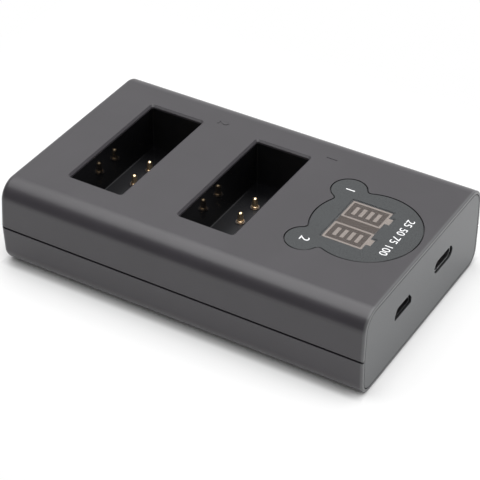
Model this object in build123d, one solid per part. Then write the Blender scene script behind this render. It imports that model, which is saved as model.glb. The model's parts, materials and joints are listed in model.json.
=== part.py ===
from build123d import *
import os
from math import radians, tan

# Desk charger for two camera batteries: a drafted two-shell case with two open wells, sprung gold
# contacts on each well floor, a smoked display window and two supply sockets in a separate end panel.
# X runs along the length towards the sockets, Y across and Z up.  The origin is under the middle of
# the case, on the surface that it stands on.  All sizes are in millimetres.

# Case
case_length = 99.1
case_width = 60.4
case_height = 23.0
parting_height = 10.7
upper_draft = 2.2
lower_draft = 1.8
side_wall = 2.0
top_wall = 1.6
floor_wall = 1.8
top_edge_round = 5.0
bottom_edge_round = 4.0
end_edge_round = 1.2
rim_edge_round = 0.3
parting_bevel = 0.12
groove_height = 0.46
groove_depth = 0.55
lip_thickness = 0.9
lip_height = 1.2

# Clearances
fit_gap = 0.1
window_gap = 0.25
running_gap = 0.04
stop_gap = 0.03
screw_gap = 0.03

# End panel and its sockets
panel_thickness = 1.6
panel_rim = 0.8
panel_edge_bevel = 0.2
port_gap_side = 0.35
port_gap_height = 0.17
socket_setback = 0.5
socket_sheet = 0.3
socket_back = 0.5
usb_c_y = 10.1
usb_c_width = 8.94
usb_c_height = 3.16
usb_c_length = 7.3
usb_c_tongue_width = 6.6
usb_c_tongue_thickness = 0.7
usb_c_tongue_setback = 0.6
usb_c_insert = 2.2
micro_y = -10.8
micro_width = 7.6
micro_height = 2.7
micro_length = 5.6
micro_shoulder = 1.15
micro_corner = 0.35
micro_tongue_width = 4.4
micro_tongue_thickness = 0.6
micro_tongue_setback = 0.8
micro_insert = 1.8

# Battery wells
slot_width = 14.85
slot_length = 36.55
slot_back_margin = 12.8
slot_front_margin = 40.65
slot_corner = 0.5
slot_lip = 1.0
slot_edge_bevel = 0.5
well_setback = 0.1
well_depth = 12.7
well_wall = 1.0
well_floor = 1.2
flange_width = 1.4
flange_thickness = 1.2
leg_side = 2.2
leg_inset_x = 2.2
leg_inset_y = 3.5

# Sprung contacts
contact_from_slot_edge = 5.2
contact_middle_y = 5.0
contact_pitch = 7.0
contact_height = 3.1
contact_travel = 1.2
plunger_radius = 0.7
collar_radius = 0.82
collar_height = 0.5
guide_radius = 0.3
barrel_wall = 0.16
barrel_base = 0.3
barrel_neck = 0.5
barrel_neck_wall = 0.16
barrel_neck_bevel = 0.1
barrel_flange_radius = 1.2
barrel_flange_thickness = 0.3
barrel_top_height = 0.75
tail_radius = 0.35
tail_length = 1.8
spring_wire = 0.18
spring_turns = 3

# Display window, the module under it and its symbols
window_from_front = 15.65
window_radius = 13.3
lobe_behind_window = 10.4
lobe_y = 11.2
lobe_radius = 4.35
lobe_blend = 1.2
window_thickness = 0.6
window_skin = 0.15
window_ledge = 1.3
window_bevel = 0.12
module_length = 13.9
module_width = 19.4
module_behind_window = 1.35
module_gap = 0.05
symbol_length = 10.3
symbol_width = 6.75
symbol_behind_window = 7.4
symbol_y = 4.65
symbol_stroke = 0.55
symbol_depth = 1.5
symbol_corner = 0.3
nub_length = 1.2
nub_width = 2.3
bar_count = 4
bar_pitch = 1.9
bar_width = 0.95
bar_length = 3.2
bar_height = 2.5
bar_from_symbol_end = 2.25
led_length = 1.6
led_width = 0.8
led_height = 0.6

# Circuit boards and what they carry
board_thickness = 1.2
contact_board_side_margin = 1.0
contact_board_margin = 0.2
contact_board_under_well = 1.5
display_board_behind_window = 20.2
display_board_side_gap = 7.2
display_board_height = 14.7
display_board_end_gap = 0.3
link_from_board_end = 3.1
link_pitch = 2.54
link_count = 5
link_pin = 0.6
link_strip_height = 2.5
link_pin_stickout = 0.8
controller_length = 5.0
controller_width = 4.0
controller_height = 1.5
controller_y = -8.0
driver_length = 6.0
driver_width = 5.0
driver_height = 1.2
driver_behind_window = 5.6
inductor_side = 5.8
inductor_height = 2.8
inductor_corner = 1.2
inductor_behind_window = 1.5
capacitor_radius = 2.4
capacitor_height = 5.4
capacitor_behind_window = 9.0
power_part_y = 9.0

# Fasteners and the bosses that take them
boss_inset_x = 5.9
boss_inset_y = 5.5
boss_radius = 2.6
boss_foot = 6.0
post_radius = 3.2
case_screw_radius = 1.0
case_screw_length = 7.0
case_screw_head_radius = 1.9
case_screw_head_height = 1.4
head_recess_depth = 3.4
head_recess_gap = 0.3
shank_gap = 0.25
pilot_extra = 1.0
board_boss_radius = 2.2
board_boss_inset = 2.75
board_screw_radius = 0.8
board_screw_length = 4.0
board_screw_head_radius = 1.6
board_screw_head_height = 1.0

# Places that follow from the sizes above
overrun = 5.0
tiny = 1e-4
front_x = case_length / 2
back_x = -case_length / 2
upper_reach = case_height - parting_height
panel_seat_x = front_x - panel_thickness
inner_top = case_height - top_wall
slot_centres = [back_x + slot_back_margin + slot_width / 2, front_x - slot_front_margin - slot_width / 2]
well_floor_z = case_height - well_depth
flange_top = case_height - slot_lip
contact_offset_x = contact_from_slot_edge - slot_width / 2
contact_ys = [contact_middle_y - contact_pitch / 2, contact_middle_y + contact_pitch / 2]
contact_board_top = well_floor_z - well_floor - contact_board_under_well
contact_board_bottom = contact_board_top - board_thickness
contact_board_half_width = slot_length / 2 - contact_board_side_margin
window_x = front_x - window_from_front
lobe_x = window_x - lobe_behind_window
symbol_back_x = window_x - symbol_behind_window
display_board_top = display_board_height + board_thickness
display_board_back_x = window_x - display_board_behind_window
display_board_front_x = panel_seat_x - display_board_end_gap
display_board_half_width = case_width / 2 - side_wall - display_board_side_gap
link_x = display_board_back_x + link_from_board_end
window_seat = case_height - window_thickness
module_x = window_x - module_behind_window
module_top = case_height - window_skin - module_gap
boss_places = [
    (side_x * (front_x - boss_inset_x), side_y * (case_width / 2 - boss_inset_y))
    for side_x in (-1, 1)
    for side_y in (-1, 1)
]
board_boss_places = [
    (x, side_y * (display_board_half_width - board_boss_inset))
    for x in (display_board_back_x + board_boss_inset, display_board_front_x - board_boss_inset)
    for side_y in (-1, 1)
]
leg_places = [
    (centre + side_x * (slot_width / 2 - leg_inset_x), side_y * (slot_length / 2 - leg_inset_y))
    for centre in slot_centres
    for side_x in (-1, 1)
    for side_y in (-1, 1)
]
contact_places = [(centre + contact_offset_x, y) for centre in slot_centres for y in contact_ys]
link_places = [(link_x, (i - (link_count - 1) / 2) * link_pitch) for i in range(link_count)]
usb_c_z = display_board_height - usb_c_height / 2
micro_z = display_board_height - micro_height / 2
symbol_rows = [symbol_y, -symbol_y]
barrel_radius = collar_radius + running_gap + barrel_wall
barrel_flange_top = well_floor_z + barrel_flange_thickness
barrel_top = well_floor_z + barrel_top_height
bore_floor = contact_board_top + barrel_base
collar_top = barrel_top - barrel_neck - stop_gap
collar_bottom = collar_top - collar_height
guide_bottom = bore_floor + contact_travel + stop_gap


def block(x0, x1, y0, y1, z0, z1):
    """Box between two opposite corners."""
    return Pos((x0 + x1) / 2, (y0 + y1) / 2, (z0 + z1) / 2) * Box(x1 - x0, y1 - y0, z1 - z0)


def post(place, z0, z1, radius):
    """Upright cylinder at a place on the plan, from z0 to z1."""
    standing = Cylinder(radius, z1 - z0, align=(Align.CENTER, Align.CENTER, Align.MIN))
    return Pos(place[0], place[1], z0) * standing


def prism(outline, z0, z1):
    """Plan outline raised from z0 to z1."""
    return extrude(Pos(0, 0, z0) * outline, amount=z1 - z0, dir=(0, 0, 1))


def chip(x, y, length, width, z0, z1):
    """Small box centred on a place on the plan."""
    return block(x - length / 2, x + length / 2, y - width / 2, y + width / 2, z0, z1)


def half_section(inset, reach, draft_angle, edge_round):
    """Cross-section of one shell set in by inset; reach runs up from the parting line, or down if negative."""
    half = case_width / 2 - inset
    lean = abs(reach) * tan(radians(draft_angle))
    section = make_face(
        Polyline((-half, 0), (half, 0), (half - lean, reach), (lean - half, reach), close=True)
    )
    corners = [corner for corner in section.vertices() if abs(corner.Y - reach) < tiny]
    return fillet(corners, edge_round)


def along(section, x0, x1):
    """Cross-section carried along the case from x0 to x1."""
    plane = Plane(origin=(x0, 0, parting_height), x_dir=(0, 1, 0), z_dir=(1, 0, 0))
    return extrude(plane * section, amount=x1 - x0, dir=(1, 0, 0))


def drafted(solid, lean_angle):
    """The same solid with its back end leaning in as it rises from the parting line, or out if negative."""
    back = solid.faces().sort_by(Axis.X)[0]
    return draft(back, Plane.XY.offset(parting_height), lean_angle)


def off_parting(face):
    """Edges of a face that don't lie on the parting line."""
    return [edge for edge in face.edges() if abs(edge.center().Z - parting_height) > tiny]


def softened(shell):
    """Shell with its back end, socket end and parting line broken as a moulding's are."""
    shell = fillet(off_parting(shell.faces().sort_by(Axis.X)[0]), end_edge_round)
    shell = fillet(off_parting(shell.faces().sort_by(Axis.X)[-1]), rim_edge_round)
    parting = [face for face in shell.faces() if abs(face.center().Z - parting_height) < tiny]
    sides = [edge for edge in parting[0].edges() if edge.center().X < front_x - tiny]
    return chamfer(sides, parting_bevel)


def hollow_shell(reach, wall, draft_angle, edge_round):
    """One shell of the case, open at the parting line and at the socket end, with the end panel's seat."""
    inner_round = edge_round - side_wall
    seat_round = edge_round - panel_rim
    side = 1 if reach > 0 else -1
    outer = along(half_section(0, reach, draft_angle, edge_round), back_x, front_x)
    cavity = along(
        half_section(side_wall, reach - side * wall, draft_angle, inner_round),
        back_x + side_wall,
        front_x + overrun,
    )
    seat = along(
        half_section(panel_rim, reach - side * panel_rim, draft_angle, seat_round),
        panel_seat_x,
        front_x + overrun,
    )
    return softened(drafted(outer, side * draft_angle)) - drafted(cavity, side * draft_angle) - seat


def lip_block(inset, height):
    """Block whose sides stand inset from the case's sides, up from the parting line."""
    half = case_width / 2 - inset
    return block(back_x + inset, panel_seat_x, -half, half, parting_height, parting_height + height)


def parting_groove():
    """Shadow gap under the parting line, round the sides and the back."""
    bottom = parting_height - groove_height
    half = case_width / 2
    band = block(back_x, front_x, -half, half, bottom, parting_height)
    core_half = half - groove_depth
    return band - block(back_x + groove_depth, front_x, -core_half, core_half, bottom, parting_height)


def slot_outline(margin):
    """Plan of a battery slot grown by a margin all round."""
    return RectangleRounded(slot_width + 2 * margin, slot_length + 2 * margin, slot_corner)


def flange_outline(margin):
    """Plan of a well's square-cornered flange, a margin wider than its slot all round."""
    return Rectangle(slot_width + 2 * margin, slot_length + 2 * margin)


def window_outline(margin):
    """Plan of the display window: a disc with two lobes, blended where they meet."""
    disc = Pos(window_x, 0) * Circle(window_radius)
    lobes = [Pos(lobe_x, side * lobe_y) * Circle(lobe_radius) for side in (-1, 1)]
    blended = offset(offset(disc + lobes, lobe_blend), -lobe_blend)
    return offset(blended, margin) if margin else blended


def top_cover():
    """Upper shell with the slots, the window's recess, and the bosses for the case and board screws."""
    cover = hollow_shell(upper_reach, top_wall, upper_draft, top_edge_round)
    lip_inset = side_wall - lip_thickness - fit_gap
    cover -= lip_block(lip_inset, lip_height + fit_gap)
    for centre in slot_centres:
        opening = prism(Pos(centre, 0) * slot_outline(0), inner_top - overrun, case_height + overrun)
        seat_margin = well_setback + well_wall + flange_width + fit_gap
        flange_seat = prism(Pos(centre, 0) * flange_outline(seat_margin), inner_top - overrun, flange_top)
        cover -= [opening, flange_seat]
    slot_rims = [
        edge
        for edge in cover.edges()
        if abs(edge.center().Z - case_height) < tiny
        and any(abs(edge.center().X - centre) < slot_width for centre in slot_centres)
        and abs(edge.center().Y) <= slot_length / 2 + tiny
    ]
    cover = chamfer(slot_rims, slot_edge_bevel)
    cover -= prism(window_outline(window_gap), window_seat, case_height + overrun)
    cover -= prism(window_outline(-window_ledge), inner_top - overrun, case_height)
    for place in boss_places:
        cover += post(place, boss_foot, inner_top, boss_radius)
    for place in board_boss_places:
        cover += post(place, display_board_top, inner_top, board_boss_radius)
    for place in boss_places:
        pilot_top = head_recess_depth + case_screw_length + pilot_extra
        cover -= post(place, boss_foot, pilot_top, case_screw_radius + screw_gap)
    for place in board_boss_places:
        pilot_top = display_board_height + board_screw_length + pilot_extra
        cover -= post(place, display_board_top, pilot_top, board_screw_radius + screw_gap)
    return cover


def bottom_cover():
    """Lower shell with the shadow gap, the locating lip and the posts for the screws and contact board."""
    cover = hollow_shell(-parting_height, floor_wall, lower_draft, bottom_edge_round) - parting_groove()
    ring = lip_block(side_wall - lip_thickness, lip_height)
    half = case_width / 2 - side_wall
    ring -= block(back_x + side_wall, front_x, -half, half, parting_height, parting_height + lip_height)
    cover += ring
    for place in boss_places:
        cover += post(place, floor_wall, boss_foot, post_radius)
    for place in leg_places:
        cover += chip(*place, leg_side, leg_side, floor_wall, contact_board_bottom)
    for place in boss_places:
        cover -= post(place, 0, head_recess_depth, case_screw_head_radius + head_recess_gap)
        cover -= post(place, 0, boss_foot, case_screw_radius + shank_gap)
    return cover


def end_plane(y, z):
    """Working plane on the socket end, facing out."""
    return Plane(origin=(front_x, y, z), x_dir=(0, 1, 0), z_dir=(1, 0, 0))


def usb_c_outline(grow_width, grow_height):
    """Flat oval of the small symmetric socket."""
    return SlotOverall(usb_c_width + 2 * grow_width, usb_c_height + 2 * grow_height)


def micro_outline(grow_width, grow_height):
    """Outline of the older socket, with its two upper corners cut away."""
    half_width = micro_width / 2 + grow_width
    half_height = micro_height / 2 + grow_height
    right = [(half_width, -half_height), (half_width, 0), (half_width - micro_shoulder, half_height)]
    left = [(-x, y) for x, y in reversed(right)]
    face = make_face(Polyline(*right, *left, close=True))
    return fillet(face.vertices(), micro_corner)


def end_panel():
    """Flat plate that closes the socket end, with an opening round each socket."""
    inset = panel_rim + fit_gap
    upper = half_section(inset, upper_reach - inset, upper_draft, top_edge_round - inset)
    lower = half_section(inset, inset - parting_height, lower_draft, bottom_edge_round - inset)
    panel = along(upper, panel_seat_x, front_x) + along(lower, panel_seat_x, front_x)
    panel = chamfer(panel.faces().sort_by(Axis.X)[-1].edges(), panel_edge_bevel)
    ports = [
        end_plane(usb_c_y, usb_c_z) * usb_c_outline(port_gap_side, port_gap_height),
        end_plane(micro_y, micro_z) * micro_outline(port_gap_side, port_gap_height),
    ]
    for port in ports:
        panel -= extrude(port, amount=panel_thickness + overrun, dir=(-1, 0, 0))
    return panel


def socket_shell(plane, outer, inner, length):
    """Folded metal shell of a socket, open to the front and closed at the back."""
    mouth = plane.offset(-socket_setback)
    body = extrude(mouth * outer, amount=length, dir=(-1, 0, 0))
    return body - extrude(mouth * inner, amount=length - socket_back, dir=(-1, 0, 0))


def usb_c_shell():
    sheet = -socket_sheet
    plane = end_plane(usb_c_y, usb_c_z)
    return socket_shell(plane, usb_c_outline(0, 0), usb_c_outline(sheet, sheet), usb_c_length)


def usb_c_tongue():
    """Plastic insert at the back of the shell with the contact tongue that stands in the middle."""
    back = front_x - socket_setback - usb_c_length + socket_back
    shell_gap = -socket_sheet - fit_gap
    base_plane = Plane(origin=(back, usb_c_y, usb_c_z), x_dir=(0, 1, 0), z_dir=(1, 0, 0))
    base = extrude(base_plane * usb_c_outline(shell_gap, shell_gap), amount=usb_c_insert)
    tip = front_x - socket_setback - usb_c_tongue_setback
    half_width = usb_c_tongue_width / 2
    half_thickness = usb_c_tongue_thickness / 2
    return base + block(
        back, tip, usb_c_y - half_width, usb_c_y + half_width, usb_c_z - half_thickness, usb_c_z + half_thickness
    )


def micro_usb_shell():
    sheet = -socket_sheet
    plane = end_plane(micro_y, micro_z)
    return socket_shell(plane, micro_outline(0, 0), micro_outline(sheet, sheet), micro_length)


def micro_usb_tongue():
    """Plastic insert at the back of the shell with the thin tongue that stands in its upper half."""
    back = front_x - socket_setback - micro_length + socket_back
    shell_gap = -socket_sheet - fit_gap
    base_plane = Plane(origin=(back, micro_y, micro_z), x_dir=(0, 1, 0), z_dir=(1, 0, 0))
    base = extrude(base_plane * micro_outline(shell_gap, shell_gap), amount=micro_insert)
    tip = front_x - socket_setback - micro_tongue_setback
    half_width = micro_tongue_width / 2
    return base + block(
        back, tip, micro_y - half_width, micro_y + half_width, micro_z, micro_z + micro_tongue_thickness
    )


def battery_well(index):
    """Open-topped moulding that hangs under a slot by its flange and stands on the contact board by its legs."""
    centre = slot_centres[index]
    floor_bottom = well_floor_z - well_floor
    flange_margin = well_setback + well_wall + flange_width
    well = prism(Pos(centre, 0) * slot_outline(well_setback + well_wall), floor_bottom, flange_top)
    well += prism(Pos(centre, 0) * flange_outline(flange_margin), flange_top - flange_thickness, flange_top)
    inside = prism(Pos(centre, 0) * slot_outline(well_setback), well_floor_z, flange_top + overrun)
    well -= inside
    for place in leg_places[4 * index : 4 * index + 4]:
        well += chip(*place, leg_side, leg_side, contact_board_top, floor_bottom)
    for place in contact_places[2 * index : 2 * index + 2]:
        well -= post(place, floor_bottom, well_floor_z + overrun, barrel_radius + fit_gap)
    return well


def turned(points):
    """Round piece from its half outline, given as radius and height pairs down to the axis."""
    return revolve(make_face(Plane.XZ * Polyline(*points, close=True)), Axis.Z)


def contact_barrel(place):
    """Barrel of a sprung contact, flanged on the well floor, with a crimped neck and a tail through the board."""
    bore = collar_radius + running_gap
    neck = plunger_radius + running_gap
    crimp = neck + barrel_neck_wall
    outside = turned(
        [
            (0, contact_board_top - tail_length),
            (tail_radius, contact_board_top - tail_length),
            (tail_radius, contact_board_top),
            (barrel_radius, contact_board_top),
            (barrel_radius, well_floor_z),
            (barrel_flange_radius, well_floor_z),
            (barrel_flange_radius, barrel_flange_top),
            (crimp, barrel_flange_top),
            (crimp, barrel_top - barrel_neck_bevel),
            (crimp - barrel_neck_bevel, barrel_top),
            (0, barrel_top),
        ]
    )
    outside -= post((0, 0), bore_floor, barrel_top - barrel_neck, bore)
    outside -= post((0, 0), bore_floor, barrel_top + overrun, neck)
    return Pos(place[0], place[1], 0) * outside


def contact_plunger(place):
    """Round-tipped plunger with the collar that keeps it in its barrel and the guide that stops its travel."""
    tip = well_floor_z + contact_height
    solid = turned(
        [
            (0, guide_bottom),
            (guide_radius, guide_bottom),
            (guide_radius, collar_bottom),
            (collar_radius, collar_bottom),
            (collar_radius, collar_top),
            (plunger_radius, collar_top),
            (plunger_radius, tip - plunger_radius),
            (0, tip - plunger_radius),
        ]
    )
    solid += Pos(0, 0, tip - plunger_radius) * Sphere(plunger_radius)
    return Pos(place[0], place[1], 0) * solid


def contact_spring(place):
    """Open coil of square wire between the barrel's floor and the plunger's collar."""
    radius = (guide_radius + collar_radius) / 2
    length = collar_bottom - bore_floor - spring_wire
    start = bore_floor + spring_wire / 2
    path = Helix(length / spring_turns, length, radius)
    section = Plane(origin=path @ 0, x_dir=(1, 0, 0), z_dir=path % 0) * Rectangle(spring_wire, spring_wire)
    return Pos(place[0], place[1], start) * sweep(section, path=path, is_frenet=True)


def display_window():
    """Smoked flush window lying on its ledge, with a pocket that leaves a thin skin over the module."""
    pane = prism(window_outline(0), window_seat, case_height)
    pane = chamfer(pane.faces().sort_by(Axis.Z)[-1].edges(), window_bevel)
    pocket_length = module_length + 2 * fit_gap
    pocket_width = module_width + 2 * fit_gap
    return pane - chip(module_x, 0, pocket_length, pocket_width, window_seat, case_height - window_skin)


def symbol_outline(row, grow):
    """Plan of one battery symbol: a rounded frame with a nub at its front end."""
    middle = symbol_back_x + symbol_length / 2
    half_stroke = symbol_stroke + grow
    outer = RectangleRounded(symbol_length + 2 * grow, symbol_width + 2 * grow, symbol_corner)
    inner = Rectangle(symbol_length - 2 * half_stroke, symbol_width - 2 * half_stroke)
    nub_middle = (symbol_length + nub_length - symbol_stroke) / 2
    nub = Pos(nub_middle, 0) * Rectangle(nub_length + symbol_stroke + 2 * grow, nub_width + 2 * grow)
    return Pos(middle, row) * (outer - inner + nub)


def symbol_frame(row):
    """Clear outline of one battery symbol."""
    return prism(symbol_outline(row, 0), module_top - symbol_depth, module_top)


def bar_place(index):
    return symbol_back_x + bar_from_symbol_end + index * bar_pitch


def charge_bar(row, index):
    """Clear light bar inside a battery symbol."""
    return chip(bar_place(index), row, bar_width, bar_length, module_top - bar_height, module_top)


def display_housing():
    """Opaque block on the display board, with a light channel for each bar and a groove for each symbol."""
    housing = chip(module_x, 0, module_length, module_width, display_board_top, module_top)
    for row in symbol_rows:
        housing -= prism(symbol_outline(row, module_gap), module_top - symbol_depth, case_height)
        for index in range(bar_count):
            channel_width = bar_width + 2 * module_gap
            channel_length = bar_length + 2 * module_gap
            housing -= chip(bar_place(index), row, channel_width, channel_length, display_board_top, case_height)
    return housing


def led_chips():
    """One small light under each bar."""
    return [
        chip(bar_place(index), row, led_width, led_length, display_board_top, display_board_top + led_height)
        for row in symbol_rows
        for index in range(bar_count)
    ]


def with_link_holes(board, z0, z1):
    hole = link_pin + 2 * fit_gap
    return board - [chip(x, y, hole, hole, z0, z1) for x, y in link_places]


def display_board():
    """Upper board: carries the display and both sockets, and hangs from the top cover's bosses."""
    board = block(
        display_board_back_x,
        display_board_front_x,
        -display_board_half_width,
        display_board_half_width,
        display_board_height,
        display_board_top,
    )
    hole = board_screw_radius + shank_gap
    board -= [post(place, display_board_height, display_board_top, hole) for place in board_boss_places]
    return with_link_holes(board, display_board_height, display_board_top)


def contact_board():
    """Lower board: takes the tails of the contacts, clamped between the wells' legs and the floor posts."""
    board = block(
        slot_centres[0] - slot_width / 2 + contact_board_margin,
        link_x + link_pitch,
        -contact_board_half_width,
        contact_board_half_width,
        contact_board_bottom,
        contact_board_top,
    )
    hole = tail_radius + fit_gap
    board -= [post(place, contact_board_bottom, contact_board_top, hole) for place in contact_places]
    return with_link_holes(board, contact_board_bottom, contact_board_top)


def link_strip():
    """Plastic strip that holds the pins between the two boards."""
    strip = chip(
        link_x, 0, link_pitch, link_count * link_pitch, contact_board_top, contact_board_top + link_strip_height
    )
    return with_link_holes(strip, contact_board_top, contact_board_top + link_strip_height)


def link_pins():
    """Square pins that join the boards."""
    bottom = contact_board_bottom - link_pin_stickout
    top = display_board_top + link_pin_stickout
    return [chip(x, y, link_pin, link_pin, bottom, top) for x, y in link_places]


def charge_controller(centre):
    """Moulded chip under the contact board, one for each well."""
    top = contact_board_bottom
    return chip(centre, controller_y, controller_length, controller_width, top - controller_height, top)


def display_driver():
    """Moulded chip under the display board."""
    top = display_board_height
    middle = window_x - driver_behind_window
    return chip(middle, 0, driver_length, driver_width, top - driver_height, top)


def inductor(side):
    """Shielded coil under the display board."""
    outline = RectangleRounded(inductor_side, inductor_side, inductor_corner)
    middle = Pos(window_x - inductor_behind_window, side * power_part_y)
    return prism(middle * outline, display_board_height - inductor_height, display_board_height)


def capacitor(side):
    """Can capacitor under the display board."""
    place = (window_x - capacitor_behind_window, side * power_part_y)
    return post(place, display_board_height - capacitor_height, display_board_height, capacitor_radius)


def screw(place, seat, length, radius, head_radius, head_height):
    """Screw driven upwards, its head under the seat."""
    return post(place, seat - head_height, seat, head_radius) + post(place, seat, seat + length, radius)


def case_screws():
    return [
        screw(
            place,
            head_recess_depth,
            case_screw_length,
            case_screw_radius,
            case_screw_head_radius,
            case_screw_head_height,
        )
        for place in boss_places
    ]


def board_screws():
    return [
        screw(
            place,
            display_board_height,
            board_screw_length,
            board_screw_radius,
            board_screw_head_radius,
            board_screw_head_height,
        )
        for place in board_boss_places
    ]


def all_pieces():
    """Every piece of the charger by its name."""
    pieces = {
        "top_cover": top_cover(),
        "bottom_cover": bottom_cover(),
        "end_panel": end_panel(),
        "usb_c_shell": usb_c_shell(),
        "usb_c_tongue": usb_c_tongue(),
        "micro_usb_shell": micro_usb_shell(),
        "micro_usb_tongue": micro_usb_tongue(),
        "display_window": display_window(),
        "display_housing": display_housing(),
        "led_chips": Compound(children=led_chips()),
        "display_board": display_board(),
        "display_driver": display_driver(),
        "contact_board": contact_board(),
        "link_strip": link_strip(),
        "link_pins": Compound(children=link_pins()),
        "case_screws": Compound(children=case_screws()),
        "board_screws": Compound(children=board_screws()),
    }
    for number, side in ((1, 1), (2, -1)):
        pieces[f"inductor_{number}"] = inductor(side)
        pieces[f"capacitor_{number}"] = capacitor(side)
    for index, centre in enumerate(slot_centres):
        pieces[f"battery_well_{index + 1}"] = battery_well(index)
        pieces[f"charge_controller_{index + 1}"] = charge_controller(centre)
    for index, place in enumerate(contact_places):
        pieces[f"contact_barrel_{index + 1}"] = contact_barrel(place)
        pieces[f"contact_plunger_{index + 1}"] = contact_plunger(place)
        pieces[f"contact_spring_{index + 1}"] = contact_spring(place)
    for number, row in enumerate(symbol_rows, 1):
        pieces[f"battery_symbol_{number}"] = symbol_frame(row)
        for index in range(bar_count):
            pieces[f"charge_bar_{number}_{index + 1}"] = charge_bar(row, index)
    return pieces


os.makedirs("parts", exist_ok=True)
for name, piece in all_pieces().items():
    export_step(piece, f"parts/{name}.step")
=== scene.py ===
import json
from math import cos, pi, radians, sin

import bmesh
import bpy
from mathutils import Matrix, Vector


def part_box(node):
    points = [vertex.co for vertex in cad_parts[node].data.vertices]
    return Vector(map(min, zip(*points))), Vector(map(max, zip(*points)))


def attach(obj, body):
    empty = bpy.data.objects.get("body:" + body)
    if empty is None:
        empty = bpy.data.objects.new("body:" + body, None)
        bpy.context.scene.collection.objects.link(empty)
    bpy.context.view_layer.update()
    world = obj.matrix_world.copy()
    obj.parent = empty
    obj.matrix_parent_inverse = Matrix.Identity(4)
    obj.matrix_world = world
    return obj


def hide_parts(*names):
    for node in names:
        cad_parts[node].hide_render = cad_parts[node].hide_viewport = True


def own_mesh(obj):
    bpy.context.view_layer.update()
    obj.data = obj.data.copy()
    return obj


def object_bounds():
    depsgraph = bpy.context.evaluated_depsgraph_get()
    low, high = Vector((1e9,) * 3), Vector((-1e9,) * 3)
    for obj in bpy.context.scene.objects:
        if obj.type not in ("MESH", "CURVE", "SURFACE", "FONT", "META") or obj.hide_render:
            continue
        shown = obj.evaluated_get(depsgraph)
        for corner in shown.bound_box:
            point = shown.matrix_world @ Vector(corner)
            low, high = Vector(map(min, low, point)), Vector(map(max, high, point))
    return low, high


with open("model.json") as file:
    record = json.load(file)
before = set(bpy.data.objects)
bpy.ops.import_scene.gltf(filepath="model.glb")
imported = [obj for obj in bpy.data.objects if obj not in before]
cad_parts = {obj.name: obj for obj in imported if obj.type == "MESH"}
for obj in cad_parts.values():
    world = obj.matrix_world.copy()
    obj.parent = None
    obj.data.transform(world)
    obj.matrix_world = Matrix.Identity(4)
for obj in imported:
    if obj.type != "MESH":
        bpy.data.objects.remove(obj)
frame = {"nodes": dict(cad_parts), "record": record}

# Looks of a desk charger for two camera batteries.  Lengths are in metres unless a name says otherwise.
MM = 0.001
BODY = "case"
cad_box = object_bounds()
joints = frame["record"]["behaviour"]["joints"]

# Camera, fitted to the photograph's straight edges
view_azimuth = radians(30.65)
view_elevation = radians(36.81)
view_roll = radians(0.242)
view_distance = 442.3 * MM
view_target = Vector((3.67, -6.12, 11.5)) * MM
view_range = (0.01, 50.0)
picture_size = 480
focal_pixels = 1849.8
sensor_width_mm = 36.0

# Floor paper
floor_half_size = 6.0
paper_in_front = 70 * MM
floor_white = 0.80

# Painted shadow: a dark strip on the paper at the case's foot; distances run outwards from the foot
painted_shadow_white = 0.45
contact_reach = (-0.5 * MM, 1.7 * MM)
contact_inner_reach = (-2.8 * MM, -1.2 * MM)
contact_end_sharpness = 2.5
contact_corner_fade = (-5 * MM, 0.5 * MM)
contact_corner_share = 0.3

# The paper's fade to white: a little painted light near the case, more beside the socket end, and plain white
# further out
near_painted_light = 0.3
near_painted_light_reach = (0.0, 6 * MM)
end_painted_light = 0.28
end_painted_light_reach = (-0.2 * MM, 0.8 * MM)
end_painted_light_fade = (20 * MM, 31 * MM)
far_lift_reach = (10 * MM, 65 * MM)

# Light: two lamps in white surroundings, with a dark horizon that only reflections see
ambient_strength = 0.45
horizon_fade = (0.55, 0.9)
horizon_front = (-0.5, 0.2)
horizon_right = (0.3, 0.6)
lamps = {
    "overhead_softbox": {"place": (0.0, 0.0, 1.0), "size": 1.4, "power": 16.0},
    "right_softbox": {"place": (1.0, 0.3, 0.3), "size": 0.6, "power": 3.5},
}

# Colours
white_colour = (1.0, 1.0, 1.0)
case_colour = (0.0358, 0.0330, 0.0376)
# Painted light: the paler rim round the socket end of the case
rim_painted_light_colour = (0.088, 0.089, 0.092)
panel_colour = (0.064, 0.067, 0.070)
well_colour = (0.0035, 0.0035, 0.004)
# Well floors: painted light, more of it away from the left wall, and a painted highlight along that wall
well_floor_painted_light_colour = (0.018, 0.018, 0.0195)
well_floor_more_painted_light_colour = (0.034, 0.034, 0.036)
well_corner_painted_highlight_colour = (0.046, 0.046, 0.048)
film_colour = (0.028, 0.031, 0.033)
film_edge_colour = (0.004, 0.004, 0.004)
field_colour = (0.080, 0.060, 0.050)
module_colour = (0.100, 0.105, 0.110)
guide_colour = (0.36, 0.31, 0.28)
led_colour = (0.8, 0.74, 0.5)
board_colour = (0.01, 0.07, 0.03)
track_colour = (0.02, 0.12, 0.05)
chip_colour = (0.012, 0.012, 0.013)
ferrite_colour = (0.05, 0.05, 0.053)
can_colour = (0.75, 0.75, 0.77)
gold_colour = (1.0, 0.75, 0.48)
flange_colour = (0.36, 0.31, 0.28)
spring_colour = (0.5, 0.5, 0.52)
# Socket steel, darkened as painted shade inside the socket openings; the USB-C shell's cut front edge stays
# pale
socket_steel_painted_shade_colour = (0.14, 0.14, 0.145)
cut_edge_colour = (0.60, 0.60, 0.61)
insert_colour = (0.008, 0.008, 0.009)
# Painted light: the USB-C tongue is paler so that it shows in the shaded opening
tongue_painted_light_colour = (0.26, 0.26, 0.27)
zinc_colour = (0.42, 0.42, 0.44)
print_colour = (0.83, 0.83, 0.84)

# Tints: the darker and the paler share of a colour that noise moves between
mould_tint = (0.92, 1.08)
faint_tint = (0.95, 1.05)
well_tint = (0.9, 1.15)
metal_tint = (0.9, 1.05)
gloss_tint = (0.93, 1.0)

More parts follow.
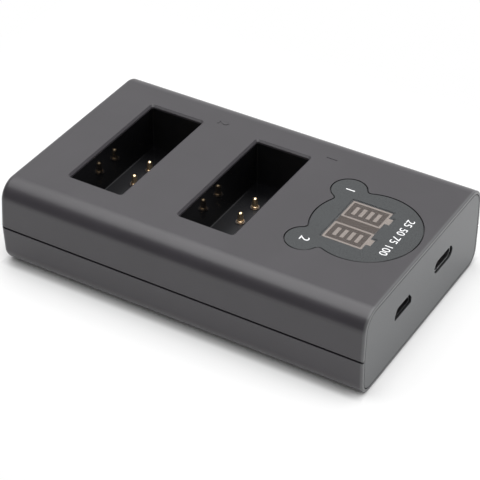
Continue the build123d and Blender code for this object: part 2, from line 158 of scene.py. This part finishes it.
# Finishes: roughness, grain size and grain depth, with a sheen where roughness is given as a range
case_finish = {"roughness": 0.32, "grain": 0.16 * MM, "depth": 0.008 * MM}
chip_finish = {"roughness": 0.55, "grain": 0.1 * MM, "depth": 0.004 * MM}
ferrite_finish = {"roughness": 0.6, "grain": 0.2 * MM, "depth": 0.01 * MM}
insert_finish = {"roughness": 0.4, "grain": 0.1 * MM, "depth": 0.003 * MM}
can_finish = {"roughness": 0.3, "grain": 0.2 * MM, "depth": 0.004 * MM}
gold_finish = {"roughness": 0.30, "grain": 0.25 * MM, "depth": 0.001 * MM}
spring_finish = {"roughness": 0.3, "grain": 0.1 * MM, "depth": 0.004 * MM}
steel_finish = {"roughness": 0.35, "grain": 0.3 * MM, "depth": 0.004 * MM}
zinc_finish = {"roughness": 0.35, "grain": 0.2 * MM, "depth": 0.004 * MM}
guide_finish = {"roughness": 0.45, "grain": 0.4 * MM}
led_finish = {"roughness": 0.4, "grain": 0.2 * MM}
tongue_finish = {"roughness": 0.4, "grain": 0.1 * MM}
ink_finish = {"roughness": 0.48, "grain": 0.15 * MM}
panel_finish = {"sheen": (0.30, 0.38), "grain": 0.14 * MM, "depth": 0.006 * MM}
well_finish = {"sheen": (0.04, 0.08), "grain": 0.2 * MM, "depth": 0.002 * MM}
film_finish = {"sheen": (0.26, 0.32), "grain": 0.12 * MM, "depth": 0.002 * MM}
module_finish = {"sheen": (0.28, 0.36), "grain": 0.3 * MM, "depth": 0.003 * MM}

# Spread of roughness about a finish's own, and the noise behind grain and drift
mould_sheen = (-0.04, 0.05)
metal_sheen = (-0.05, 0.07)
gloss_sheen = (-0.05, 0.05)
grain_detail = 3.0
mould_grain_sharpness = 0.6
drift_grain = 14 * MM
drift_share = 0.6

# Where a colour changes, from the front or the top: the rim's painted light, the painted shade in the socket
# openings, the cut sheet and the contact necks; and the share of the panel's colour left in the openings as
# painted shade
rim_painted_light_reach = (-0.9 * MM, -0.2 * MM)
painted_port_shade = 0.15
painted_port_shade_reach = (-0.3 * MM, 0.0)
cut_edge_reach = (-0.06 * MM, -0.02 * MM)
neck_reach = (-0.42 * MM, -0.36 * MM)

# Battery wells, with painted light on the floors, painted shade towards their far ends and a painted
# highlight along the left walls
well_half_width = 7.525 * MM
well_gloss = 0.3
well_ripple = 2.5 * MM
well_ripple_share = 0.7
well_facing = 0.5
well_end_dullness = 0.4
well_floor_dullness = 0.15
well_floor_speckle = 0.8
well_floor_painted_shade_fade = (5 * MM, 16 * MM)
well_painted_light_reach = (3 * MM, 7 * MM)
well_painted_highlight_reach = (0.2 * MM, 0.5 * MM)

# Display film, which keeps a little cover over the symbols, and the brown field round them
film_drift = 9 * MM
film_fade = (0.05 * MM, 0.6 * MM)
film_cover = 0.2
film_skin = 0.1 * MM
pocket_gap = 0.2 * MM
field_fade = 0.3 * MM
nub_length = 1.2 * MM
nub_half_width = 1.15 * MM

# Circuit boards
board_roughness = 0.35
track_scale = 260.0
track_depth = 0.01 * MM

# Printed and moulded marks on the top
digit_share_of_font = 0.73
print_lift = 0.02 * MM
digit_height = 2.5 * MM
digit_from_lobe = 0.2 * MM
lobe_radius = 4.35 * MM
legend_height = 2.1 * MM
legend_from_window_front = 5.4 * MM
mould_mark_height = 3.0 * MM
mould_mark_lift = 0.1 * MM
mould_mark_from_well = 2.2 * MM
mould_mark_y = 20.6 * MM

# Contact strips on the socket tongues
strip_lift = 0.03 * MM
strip_setback = 0.35 * MM
usb_c_tongue_thickness = 0.7 * MM
usb_c_strip = {"count": 12, "pitch": 0.5 * MM, "width": 0.27 * MM, "length": 2.4 * MM}
micro_strip = {"count": 5, "pitch": 0.65 * MM, "width": 0.36 * MM, "length": 2.0 * MM}

# Springs under the contacts
spring_wire_radius = 0.09 * MM
spring_wire_sides = 8
spring_turns = 3
spring_steps_per_turn = 24
spring_end_gap = 0.02 * MM

# Case screws
screw_sides = 36
screw_head_radius = 1.9 * MM
screw_head_height = 1.4 * MM
screw_edge_round = 0.45 * MM
screw_edge_steps = 4
screw_shank_radius = 1.0 * MM
cross_half_length = 1.05 * MM
cross_half_width = 0.27 * MM
cross_depth = 0.9 * MM
cross_taper = 0.55


class Socket:
    """A node's output; arithmetic on it adds Math nodes."""

    def __init__(self, tree, socket):
        self.tree = tree
        self.socket = socket

    def math(self, operation, *values):
        return self.tree.add("ShaderNodeMath", {"operation": operation}, dict(enumerate(values)))

    def __add__(self, other):
        return self.math("ADD", self, other)

    def __radd__(self, other):
        return self.math("ADD", other, self)

    def __sub__(self, other):
        return self.math("SUBTRACT", self, other)

    def __rsub__(self, other):
        return self.math("SUBTRACT", other, self)

    def __mul__(self, other):
        return self.math("MULTIPLY", self, other)

    def __rmul__(self, other):
        return self.math("MULTIPLY", other, self)

    def __abs__(self):
        return self.math("ABSOLUTE", self)

    def larger(self, other):
        return self.math("MAXIMUM", self, other)

    def smaller(self, other):
        return self.math("MINIMUM", self, other)

    def above(self, other):
        return self.math("GREATER_THAN", self, other)


class Tree:
    """Node tree of a material or the world, started empty."""

    def __init__(self, owner):
        owner.use_nodes = True
        self.nodes = owner.node_tree.nodes
        self.links = owner.node_tree.links
        self.nodes.clear()

    def add(self, kind, settings=None, inputs=None, output=0):
        """Adds a node, sets its settings and then its sockets, and returns one of its outputs."""
        node = self.nodes.new(kind)
        for name, value in (settings or {}).items():
            setattr(node, name, value)
        for key, value in (inputs or {}).items():
            if isinstance(value, Socket):
                self.links.new(value.socket, node.inputs[key])
            else:
                node.inputs[key].default_value = value
        return Socket(self, node.outputs[output]) if len(node.outputs) else None

    def place(self):
        """Object coordinates."""
        return self.add("ShaderNodeTexCoord", output="Object")

    def axes(self, vector):
        """The x, y and z of a vector."""
        split = self.add("ShaderNodeSeparateXYZ", {}, {0: vector}).socket.node
        return [Socket(self, output) for output in split.outputs]

    def ray(self, kind):
        """One for rays of a kind, such as Camera or Glossy."""
        return self.add("ShaderNodeLightPath", output=f"Is {kind} Ray")

    def noise(self, place, grain, detail=2.0, roughness=0.5):
        """Noise with grains of a given size."""
        inputs = {"Vector": place, "Scale": 1 / grain, "Detail": detail, "Roughness": roughness}
        return self.add("ShaderNodeTexNoise", {}, inputs)

    def spread(self, value, low, high, start=0.3, end=0.7):
        """Maps a value from start..end smoothly to low..high; the usual range is that of noise."""
        inputs = {"Value": value, "From Min": start, "From Max": end, "To Min": low, "To Max": high}
        return self.add("ShaderNodeMapRange", {"interpolation_type": "SMOOTHSTEP"}, inputs)

    def blend(self, factor, first, second):
        """Colour between two colours."""
        inputs = {"Factor": factor, 6: first, 7: second}
        return self.add("ShaderNodeMix", {"data_type": "RGBA"}, inputs, output=2)

    def speckle(self, noise, colour, tint):
        """Colour that noise moves between its darker and its paler tint."""
        darker, paler = tint
        return self.blend(self.spread(noise, 0.0, 1.0), rgba(colour, darker), rgba(colour, paler))

    def bump(self, height, distance):
        return self.add("ShaderNodeBump", {}, {"Height": height, "Distance": distance})

    def principled(self, **inputs):
        named = {key.replace("_", " "): value for key, value in inputs.items()}
        return self.add("ShaderNodeBsdfPrincipled", {}, named)

    def surface(self, shader):
        self.add("ShaderNodeOutputMaterial", {}, {"Surface": shader})


def rgba(colour, level=1.0):
    return tuple(channel * level for channel in colour) + (1.0,)


def new_material(name):
    material = bpy.data.materials.new(name)
    return material, Tree(material)


def sheen_about(roughness, offsets):
    """Range of roughness about a mean."""
    return [roughness + offset for offset in offsets]


def moulded_plastic(name, colour, roughness, grain, depth, rim=None):
    """Spark-textured moulding with a faint drift in tone, and maybe a rim at the socket end painted paler as
    painted light.
    """
    material, tree = new_material(name)
    place = tree.place()
    fine = tree.noise(place, grain, grain_detail, mould_grain_sharpness)
    broad = tree.noise(place, drift_grain)
    tone = tree.spread(broad, 0.0, drift_share) + tree.spread(fine, 0.0, 1 - drift_share)
    darker, paler = mould_tint
    tint = tree.blend(tone, rgba(colour, darker), rgba(colour, paler))
    # painted light: a paler band on the rim round the socket end
    if rim:
        from_end = tree.axes(place)[0] - cad_box[1].x
        tint = tree.blend(tree.spread(from_end, 0.0, 1.0, *rim_painted_light_reach), tint, rgba(rim))
    tree.surface(
        tree.principled(
            Base_Color=tint,
            Roughness=tree.spread(fine, *sheen_about(roughness, mould_sheen)),
            Normal=tree.bump(fine, depth),
        )
    )
    return material


def panel_plastic(name, sheen, grain, depth):
    """Satin end panel, with painted shade just inside its socket openings."""
    material, tree = new_material(name)
    place = tree.place()
    from_face = tree.axes(place)[0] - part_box("end_panel")[1].x
    # painted shade: the panel darkens just inside its socket openings
    face = tree.spread(from_face, 0.0, 1.0, *painted_port_shade_reach)
    fine = tree.noise(place, grain, grain_detail, mould_grain_sharpness)
    tint = tree.speckle(fine, panel_colour, faint_tint)
    tree.surface(
        tree.principled(
            Base_Color=tree.blend(face, rgba(panel_colour, painted_port_shade), tint),
            Roughness=tree.spread(fine, *sheen),
            Normal=tree.bump(fine, depth),
        )
    )
    return material


def well_plastic(name, sheen, grain, depth):
    """Smooth rippled black moulding with a dull far end and a dull floor; the floor is painted paler as
    painted light, fading to painted shade towards the far end, paler again away from its left wall, with a
    painted highlight along that wall.
    """
    material, tree = new_material(name)
    place = tree.place()
    facing = tree.axes(tree.add("ShaderNodeTexCoord", output="Normal"))
    x, y, z = tree.axes(place)
    # painted light on the up-facing floor, fading to painted shade towards the far end
    level = facing[2].above(well_facing) * tree.spread(y, 1.0, 0.0, *well_floor_painted_shade_fade)
    far_end = (-1 * facing[1]).above(well_facing)
    first, second = [sum(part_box(f"battery_well_{well}"), Vector()) / 2 for well in (1, 2)]
    across = x - first.x + well_half_width - x.above((first.x + second.x) / 2) * (second.x - first.x)
    ripple = tree.noise(place, well_ripple)
    fine = tree.noise(place, grain)
    wall = tree.speckle(ripple, well_colour, well_tint)
    # more painted light away from the left wall, and a painted highlight along it
    painted_light_share = tree.spread(across, 0.0, 1.0, *well_painted_light_reach) * tree.spread(fine, well_floor_speckle, 1.0)
    floor = tree.blend(painted_light_share, rgba(well_floor_painted_light_colour), rgba(well_floor_more_painted_light_colour))
    corner = tree.spread(across, 1.0, 0.0, *well_painted_highlight_reach)
    floor = tree.blend(corner, floor, rgba(well_corner_painted_highlight_colour))
    dullness = level * well_floor_dullness + far_end * well_end_dullness
    relief = ripple * well_ripple_share + fine * (1 - well_ripple_share)
    tree.surface(
        tree.principled(
            Base_Color=tree.blend(level, wall, floor),
            Roughness=tree.spread(fine, *sheen) + dullness,
            Specular_IOR_Level=well_gloss,
            Normal=tree.bump(relief, depth),
        )
    )
    return material


def outside_plan(x, y, box):
    """Distance outside a box's plan, negative inside; x and y are sockets."""
    low, high = box
    middle = (low + high) / 2
    half = (high - low) / 2
    return (abs(x - middle.x) - half.x).larger(abs(y - middle.y) - half.y)


def symbols_box():
    """Corners of a box round both battery symbols, without their nubs."""
    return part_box("battery_symbol_2")[0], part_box("battery_symbol_1")[1] - Vector((nub_length, 0, 0))


def nub_box(number):
    """Corners of a box round the nub of one battery symbol."""
    low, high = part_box(f"battery_symbol_{number}")
    middle_y = (low.y + high.y) / 2
    return (
        Vector((high.x - nub_length, middle_y - nub_half_width, low.z)),
        Vector((high.x, middle_y + nub_half_width, high.z)),
    )


def smoked_film(name, sheen, grain, depth):
    """Flush window film with dark edges, printed solid except over the symbols."""
    material, tree = new_material(name)
    place = tree.place()
    x, y, z = tree.axes(place)
    skin = z.above(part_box("display_window")[1].z - film_skin)
    pocket = outside_plan(x, y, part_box("display_housing"))
    clear = outside_plan(x, y, symbols_box())
    for number in (1, 2):
        clear = clear.smaller(outside_plan(x, y, nub_box(number)))
    cover = tree.spread(clear, film_cover, 1.0, *film_fade)
    fine = tree.noise(place, grain)
    tint = tree.speckle(tree.noise(place, film_drift), film_colour, faint_tint)
    tree.surface(
        tree.principled(
            Base_Color=tree.blend(skin, rgba(film_edge_colour), tint),
            Roughness=tree.spread(fine, *sheen),
            Alpha=cover * skin + pocket.above(pocket_gap) * (1 - skin),
            Normal=tree.bump(fine, depth),
        )
    )
    return material


def module_plastic(name, sheen, grain, depth):
    """Display module with a soft brown field round the symbols."""
    material, tree = new_material(name)
    place = tree.place()
    x, y, z = tree.axes(place)
    outside = outside_plan(x, y, symbols_box())
    field = tree.spread(outside, 1.0, 0.0, -field_fade, field_fade)
    fine = tree.noise(place, grain)
    brown = tree.speckle(fine, field_colour, mould_tint)
    dark = tree.speckle(fine, module_colour, faint_tint)
    tree.surface(
        tree.principled(
            Base_Color=tree.blend(field, dark, brown),
            Roughness=tree.spread(fine, *sheen),
            Normal=tree.bump(fine, depth),
        )
    )
    return material


def metal_surface(tree, fine, colour, roughness, depth):
    """Gives a material a metal surface with fine tool marks."""
    tree.surface(
        tree.principled(
            Base_Color=colour,
            Metallic=1.0,
            Roughness=tree.spread(fine, *sheen_about(roughness, metal_sheen)),
            Normal=tree.bump(fine, depth),
        )
    )


def bright_metal(name, colour, roughness, grain, depth):
    """Plated or drawn metal."""
    material, tree = new_material(name)
    fine = tree.noise(tree.place(), grain, grain_detail)
    metal_surface(tree, fine, tree.speckle(fine, colour, metal_tint), roughness, depth)
    return material


def banded_metal(name, node, axis, reach, colours, roughness, grain, depth):
    """Metal of one colour that changes to another near the high end of a node along an axis."""
    material, tree = new_material(name)
    place = tree.place()
    fine = tree.noise(place, grain, grain_detail)
    from_end = tree.axes(place)[axis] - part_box(node)[1][axis]
    body, band = colours
    colour = tree.blend(tree.spread(from_end, 0.0, 1.0, *reach), rgba(body), rgba(band))
    metal_surface(tree, fine, colour, roughness, depth)
    return material


def circuit_laminate(name):
    """Green board with faint copper tracks under the mask."""
    material, tree = new_material(name)
    inputs = {"Vector": tree.place(), "Scale": track_scale}
    tracks = tree.add("ShaderNodeTexWave", {"bands_direction": "DIAGONAL"}, inputs)
    tree.surface(
        tree.principled(
            Base_Color=tree.blend(tree.spread(tracks, 0.0, 1.0), rgba(board_colour), rgba(track_colour)),
            Roughness=board_roughness,
            Normal=tree.bump(tracks, track_depth),
        )
    )
    return material


def speckled_gloss(name, colour, roughness, grain):
    """Ink, resin or milky plastic with a faint speckle."""
    material, tree = new_material(name)
    fine = tree.noise(tree.place(), grain)
    tree.surface(
        tree.principled(
            Base_Color=tree.speckle(fine, colour, gloss_tint),
            Roughness=tree.spread(fine, *sheen_about(roughness, gloss_sheen)),
        )
    )
    return material


def slot_finishes():
    """One finish for each of the record's material slots."""
    return {
        "case_shell": moulded_plastic("case_plastic", case_colour, **case_finish, rim=rim_painted_light_colour),
        "end_panel": panel_plastic("panel_plastic", **panel_finish),
        "battery_well": well_plastic("well_plastic", **well_finish),
        "smoked_window": smoked_film("window_film", **film_finish),
        "display_module": module_plastic("module_plastic", **module_finish),
        "light_guide": speckled_gloss("guide_plastic", guide_colour, **guide_finish),
        "led": speckled_gloss("led_resin", led_colour, **led_finish),
        "circuit_board": circuit_laminate("board_laminate"),
        "chip_body": moulded_plastic("chip_moulding", chip_colour, **chip_finish),
        "ferrite": moulded_plastic("ferrite_core", ferrite_colour, **ferrite_finish),
        "capacitor_can": bright_metal("can_aluminium", can_colour, **can_finish),
        "contact_gold": bright_metal("gold_plate", gold_colour, **gold_finish),
        "spring_steel": bright_metal("spring_wire", spring_colour, **spring_finish),
        "socket_steel": bright_metal("socket_sheet", socket_steel_painted_shade_colour, **steel_finish),
        "socket_insert": moulded_plastic("insert_plastic", insert_colour, **insert_finish),
        "screw_steel": bright_metal("screw_zinc", zinc_colour, **zinc_finish),
    }


def own_finishes():
    """Finishes of the nodes that don't take their slot's: one socket, and the barrels of the contacts."""
    front, top = 0, 2
    sheet = (socket_steel_painted_shade_colour, cut_edge_colour)
    plate = (flange_colour, gold_colour)
    finishes = {
        "usb_c_shell": banded_metal("cut_sheet", "usb_c_shell", front, cut_edge_reach, sheet, **steel_finish),
        "usb_c_tongue": speckled_gloss("tongue_resin", tongue_painted_light_colour, **tongue_finish),
    }
    barrel = banded_metal("barrel_plate", "contact_barrel_1", top, neck_reach, plate, **gold_finish)
    for number in range(1, len(joints) + 1):
        finishes[f"contact_barrel_{number}"] = barrel
    return finishes


def dress_nodes(finishes):
    """Gives every CAD node the finish of its material slot, or its own where it has one."""
    own = own_finishes()
    for part in frame["record"]["subparts"]:
        finish = own.get(part["node"], finishes[part["material_slot"]])
        for slot in frame["nodes"][part["node"]].material_slots:
            slot.material = finish


def add_piece(name, mesh, material):
    """Puts a finished mesh in the scene as a piece of the case."""
    piece = bpy.data.objects.new(name, mesh)
    mesh.materials.append(material)
    bpy.context.scene.collection.objects.link(piece)
    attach(piece, BODY)
    return piece


def finished_mesh(name, shape):
    """Mesh from a bmesh, with its faces pointing outwards."""
    bmesh.ops.recalc_face_normals(shape, faces=shape.faces)
    mesh = bpy.data.meshes.new(name)
    shape.to_mesh(mesh)
    shape.free()
    return mesh


def text_mesh(name, words, height, thickness):
    """Solid lettering of a given height, centred on the origin and reading along +X."""
    curve = bpy.data.curves.new(name, "FONT")
    curve.body = words
    curve.align_x = "CENTER"
    curve.align_y = "CENTER"
    curve.size = height / digit_share_of_font
    curve.extrude = thickness / 2
    shape = bpy.data.objects.new(name, curve)
    bpy.context.scene.collection.objects.link(shape)
    bpy.context.view_layer.update()
    mesh = bpy.data.meshes.new_from_object(shape.evaluated_get(bpy.context.evaluated_depsgraph_get()))
    bpy.data.objects.remove(shape)
    bpy.data.curves.remove(curve)
    mesh.name = name
    return mesh


def top_mark(name, words, height, lift, place, material):
    """Lettering on the top face that reads towards -Y, its top towards the sockets."""
    mesh = text_mesh(name, words, height, 2 * lift)
    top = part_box("top_cover")[1].z
    mesh.transform(Matrix.Translation((*place, top)) @ Matrix.Rotation(-pi / 2, 4, "Z"))
    return add_piece(name, mesh, material)


def window_marks():
    """White channel numbers in the lobes and the charge legend in front of the symbols."""
    ink = speckled_gloss("white_ink", print_colour, **ink_finish)
    low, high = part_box("display_window")
    digit_x = low.x + lobe_radius + digit_from_lobe
    digit_y = high.y - lobe_radius
    for number, side in ((1, 1), (2, -1)):
        name = f"channel_number_{number}"
        top_mark(name, str(number), digit_height, print_lift, (digit_x, side * digit_y), ink)
    place = (high.x - legend_from_window_front, 0)
    top_mark("charge_legend", "25 50 75 100", legend_height, print_lift, place, ink)


def moulded_marks(plastic):
    """Raised number in the case plastic beside the far end of each slot."""
    for well, number in ((1, 2), (2, 1)):
        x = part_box(f"battery_well_{well}")[1].x + mould_mark_from_well
        name = f"slot_number_{number}"
        place = (x, mould_mark_y)
        top_mark(name, str(number), mould_mark_height, mould_mark_lift, place, plastic)


def contact_strips(name, strip, front, middle_y, faces, material):
    """Row of plated strips along a socket tongue, on each of the given faces."""
    shape = bmesh.new()
    for face_z in faces:
        for index in range(strip["count"]):
            y = middle_y + (index - (strip["count"] - 1) / 2) * strip["pitch"]
            x = front - strip_setback - strip["length"] / 2
            size = Matrix.Diagonal((strip["length"], strip["width"], 2 * strip_lift, 1))
            bmesh.ops.create_cube(shape, size=1, matrix=Matrix.Translation((x, y, face_z)) @ size)
    add_piece(name, finished_mesh(name, shape), material)


def socket_strips(gold):
    """Contact strips on both faces of one tongue, and under the other, whose underside is at mid-height."""
    low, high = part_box("usb_c_tongue")
    middle = (low + high) / 2
    half = usb_c_tongue_thickness / 2
    faces = (middle.z - half, middle.z + half)
    contact_strips("usb_c_strips", usb_c_strip, high.x, middle.y, faces, gold)
    low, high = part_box("micro_usb_tongue")
    middle = (low + high) / 2
    contact_strips("micro_usb_strips", micro_strip, high.x, middle.y, (middle.z,), gold)


def ring_edges(shape, points):
    """Closed loop of edges through the given points."""
    corners = [shape.verts.new(point) for point in points]
    return [shape.edges.new((corners[i - 1], corners[i])) for i in range(len(corners))]


def round_points(centre, radius, z):
    turns = [2 * pi * i / screw_sides for i in range(screw_sides)]
    return [(centre[0] + radius * cos(turn), centre[1] + radius * sin(turn), z) for turn in turns]


def cross_points(centre, reach, half_width, z):
    """Corners of a cross with arms of a given reach."""
    arm = [(reach, -half_width), (reach, half_width), (half_width, half_width)]
    points = []
    for quarter in range(4):
        for x, y in arm:
            for turn in range(quarter):
                x, y = -y, x
            points.append((centre[0] + x, centre[1] + y, z))
    return points


def add_screw(shape, centre, face_z, top_z):
    """Round-edged screw that shows its cross recess downwards, with a plain shank above."""
    rim = ring_edges(shape, round_points(centre, screw_head_radius, face_z))
    mouth = ring_edges(shape, cross_points(centre, cross_half_length, cross_half_width, face_z))
    bmesh.ops.triangle_fill(shape, use_beauty=True, edges=rim + mouth)
    floor_points = cross_points(
        centre, cross_half_length * cross_taper, cross_half_width * cross_taper, face_z + cross_depth
    )
    floor_ring = ring_edges(shape, floor_points)
    bmesh.ops.bridge_loops(shape, edges=mouth + floor_ring)
    bmesh.ops.edgeloop_fill(shape, edges=floor_ring)
    steps = [
        (screw_head_radius, face_z + screw_head_height),
        (screw_shank_radius, face_z + screw_head_height),
        (screw_shank_radius, top_z),
    ]
    last = rim
    for radius, z in steps:
        ring = ring_edges(shape, round_points(centre, radius, z))
        bmesh.ops.bridge_loops(shape, edges=last + ring)
        last = ring
    bmesh.ops.edgeloop_fill(shape, edges=last)
    bmesh.ops.bevel(
        shape,
        geom=rim,
        offset=screw_edge_round,
        affect="EDGES",
        segments=screw_edge_steps,
        profile=0.5,
        material=-1,
    )


def case_screws(zinc):
    """Four screws in the recesses of the underside, in place of the plain ones."""
    low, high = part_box("case_screws")
    shape = bmesh.new()
    for x in (low.x + screw_head_radius, high.x - screw_head_radius):
        for y in (low.y + screw_head_radius, high.y - screw_head_radius):
            add_screw(shape, (x, y), low.z, high.z)
    piece = add_piece("cross_screws", finished_mesh("cross_screws", shape), zinc)
    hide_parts("case_screws")


def coil_mesh(name, low, high):
    """Open coil of round wire that fits a box."""
    middle = (low + high) / 2
    steps = spring_turns * spring_steps_per_turn
    rise = high.z - low.z - 2 * spring_wire_radius - spring_end_gap
    start = (high.x - spring_wire_radius, middle.y, low.z + spring_wire_radius)
    shape = bmesh.new()
    bmesh.ops.create_circle(
        shape,
        segments=spring_wire_sides,
        radius=spring_wire_radius,
        matrix=Matrix.Translation(start) @ Matrix.Rotation(pi / 2, 4, "X"),
    )
    bmesh.ops.spin(
        shape,
        geom=shape.verts[:] + shape.edges[:],
        cent=(middle.x, middle.y, 0),
        axis=(0, 0, 1),
        dvec=(0, 0, rise / steps),
        angle=2 * pi * spring_turns,
        steps=steps,
    )
    open_ends = [edge for edge in shape.edges if edge.is_boundary]
    bmesh.ops.edgeloop_fill(shape, edges=open_ends)
    return finished_mesh(name, shape)


def contact_coils(wire):
    """Springs under the contacts, in place of the plain ones."""
    for joint in joints:
        spring = joint["deforming_nodes"][0]["node"]
        low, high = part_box(spring)
        name = spring.replace("spring", "coil")
        piece = add_piece(name, coil_mesh(name, low, high), wire)
        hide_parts(spring)
        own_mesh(piece)


def paper_lift(tree, x, y):
    """How far the paper has faded to white: painted light near the case and beside the socket end, then plain
    white.
    """
    distance = outside_plan(x, y, cad_box)
    near = tree.spread(distance, 0.0, near_painted_light, *near_painted_light_reach)
    end = tree.spread(x - cad_box[1].x, 0.0, end_painted_light, *end_painted_light_reach)
    end *= tree.spread(abs(y), 1.0, 0.0, *end_painted_light_fade)
    far = (1 - near_painted_light - end) * tree.spread(distance, 0.0, 1.0, *far_lift_reach)
    return near + (end + far)


def contact_shade(tree, x, y):
    """How dark the painted shadow at the case's foot is: narrower along the ends, and fainter towards them.
    """
    past_end = abs(x) - cad_box[1].x
    distance = (past_end * contact_end_sharpness).larger(abs(y) - cad_box[1].y)
    shade = tree.spread(distance, 1.0, 0.0, *contact_reach)
    shade *= tree.spread(distance, 0.0, 1.0, *contact_inner_reach)
    return shade * tree.spread(past_end, 1.0, contact_corner_share, *contact_corner_fade)


def floor_paper(name):
    """White paper; its painted shadow at the foot and its fade to white, partly painted light, are for the
    camera alone.
    """
    material, tree = new_material(name)
    x, y, z = tree.axes(tree.place())
    camera_ray = tree.ray("Camera")
    plain, shaded = [
        tree.add("ShaderNodeBsdfDiffuse", {}, {"Color": rgba(white_colour, level)})
        for level in (floor_white, painted_shadow_white)
    ]
    shade = contact_shade(tree, x, y) * camera_ray
    paper = tree.add("ShaderNodeMixShader", {}, {0: shade, 1: plain, 2: shaded})
    white = tree.add("ShaderNodeEmission", {}, {"Color": rgba(white_colour), "Strength": 1.0})
    lift = paper_lift(tree, x, y) * camera_ray
    tree.surface(tree.add("ShaderNodeMixShader", {}, {0: lift, 1: paper, 2: white}))
    return material


def make_floor():
    """Sheet of paper that ends a little way in front of the case."""
    shape = bmesh.new()
    bmesh.ops.create_grid(shape, x_segments=1, y_segments=1, size=floor_half_size)
    for corner in shape.verts:
        corner.co.y = max(corner.co.y, cad_box[0].y - paper_in_front)
    mesh = bpy.data.meshes.new("floor")
    shape.to_mesh(mesh)
    shape.free()
    floor = bpy.data.objects.new("floor", mesh)
    bpy.context.scene.collection.objects.link(floor)
    mesh.materials.append(floor_paper("floor_paper"))


def make_world():
    """White surroundings, dimmer as a light, with a dark horizon in front and to the right in reflections."""
    world = bpy.data.worlds.new("light_tent")
    bpy.context.scene.world = world
    tree = Tree(world)
    x, y, z = tree.axes(tree.add("ShaderNodeTexCoord", output="Generated"))
    front = tree.spread(y, 1.0, 0.0, *horizon_front)
    right = tree.spread(x, 0.0, 1.0, *horizon_right)
    low = tree.spread(z, 1.0, 0.0, *horizon_fade)
    glossy = tree.ray("Glossy")
    seen = tree.ray("Camera").larger(glossy).larger(tree.ray("Transmission"))
    shade = 1 - front.larger(right) * low * glossy
    strength = (seen * (1 - ambient_strength) + ambient_strength) * shade
    background = tree.add("ShaderNodeBackground", {}, {"Color": rgba(white_colour), "Strength": strength})
    tree.add("ShaderNodeOutputWorld", {}, {"Surface": background})


def make_lamps():
    for name, lamp in lamps.items():
        light = bpy.data.lights.new(name, "AREA")
        light.size = lamp["size"]
        light.energy = lamp["power"]
        holder = bpy.data.objects.new(name, light)
        bpy.context.scene.collection.objects.link(holder)
        holder.location = lamp["place"]
        holder.rotation_euler = (-Vector(lamp["place"])).to_track_quat("-Z", "Y").to_euler()


def make_camera():
    """Camera at the photograph's viewpoint, looking at the target from its azimuth and elevation."""
    camera = bpy.data.cameras.new("camera")
    camera.sensor_width = sensor_width_mm
    camera.lens = sensor_width_mm * focal_pixels / picture_size
    camera.clip_start, camera.clip_end = view_range
    holder = bpy.data.objects.new("camera", camera)
    bpy.context.scene.collection.objects.link(holder)
    level = cos(view_elevation)
    back = Vector((sin(view_azimuth) * level, -cos(view_azimuth) * level, sin(view_elevation)))
    turn = (-back).to_track_quat("-Z", "Y").to_matrix().to_4x4()
    holder.matrix_world = (
        Matrix.Translation(view_target + back * view_distance) @ turn @ Matrix.Rotation(view_roll, 4, "Z")
    )
    bpy.context.scene.camera = holder


bpy.context.scene.view_settings.view_transform = "Standard"
finishes = slot_finishes()
dress_nodes(finishes)
window_marks()
moulded_marks(finishes["case_shell"])
socket_strips(finishes["contact_gold"])
case_screws(finishes["screw_steel"])
contact_coils(finishes["spring_steel"])
make_floor()
make_world()
make_lamps()
make_camera()
